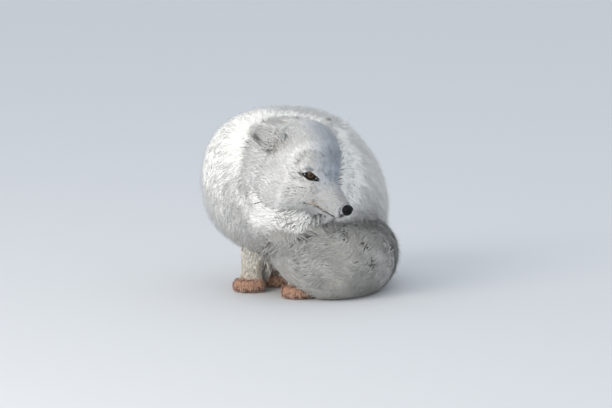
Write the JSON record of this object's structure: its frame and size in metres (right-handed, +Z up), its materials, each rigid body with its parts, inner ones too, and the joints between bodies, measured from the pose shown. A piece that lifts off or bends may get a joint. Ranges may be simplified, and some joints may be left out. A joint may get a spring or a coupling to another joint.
{
  "type": "arctic fox",
  "caption": "Life-size arctic fox in its winter coat, sitting hunched with its tail wrapped round its feet and its head turned to the left.",
  "frame": {"origin": "on the ground, under the middle of the whole model's box", "axes": "+Z up, -Y towards the side that the face and front paws are seen from, +X to the fox's left where the nose points"},
  "size_m": [0.285, 0.3228, 0.2657],
  "materials": {
    "body_coat": "long soft winter fur, white with a warm tint",
    "face_coat": "short to medium soft fur, white with grey hair bases",
    "leg_coat": "short dense fur, cream",
    "paw_coat": "short dense fur stained rusty brown",
    "tail_coat": "long clumped fur, greyish cream",
    "nose": "moist pebbled skin, black",
    "eye": "wet and glossy, amber brown iris round a black pupil",
    "eyelid": "thin black skin",
    "claw": "smooth dark horn",
    "whisker": "stiff smooth hair"
  },
  "bodies": {
    "root": {"ear_left": "face_coat", "ear_right": "face_coat", "eye_left": "eye", "eye_right": "eye", "front_leg_left": "leg_coat", "front_leg_right": "leg_coat", "front_paw_left": "paw_coat", "front_paw_right": "paw_coat", "head": "face_coat", "hind_leg_left": "leg_coat", "hind_leg_right": "leg_coat", "hind_paw_left": "paw_coat", "hind_paw_right": "paw_coat", "neck": "body_coat", "nose": "nose", "tail_base": "tail_coat", "tail_middle": "tail_coat", "tail_tip": "tail_coat", "trunk": "body_coat"}
  },
  "joints": []
}
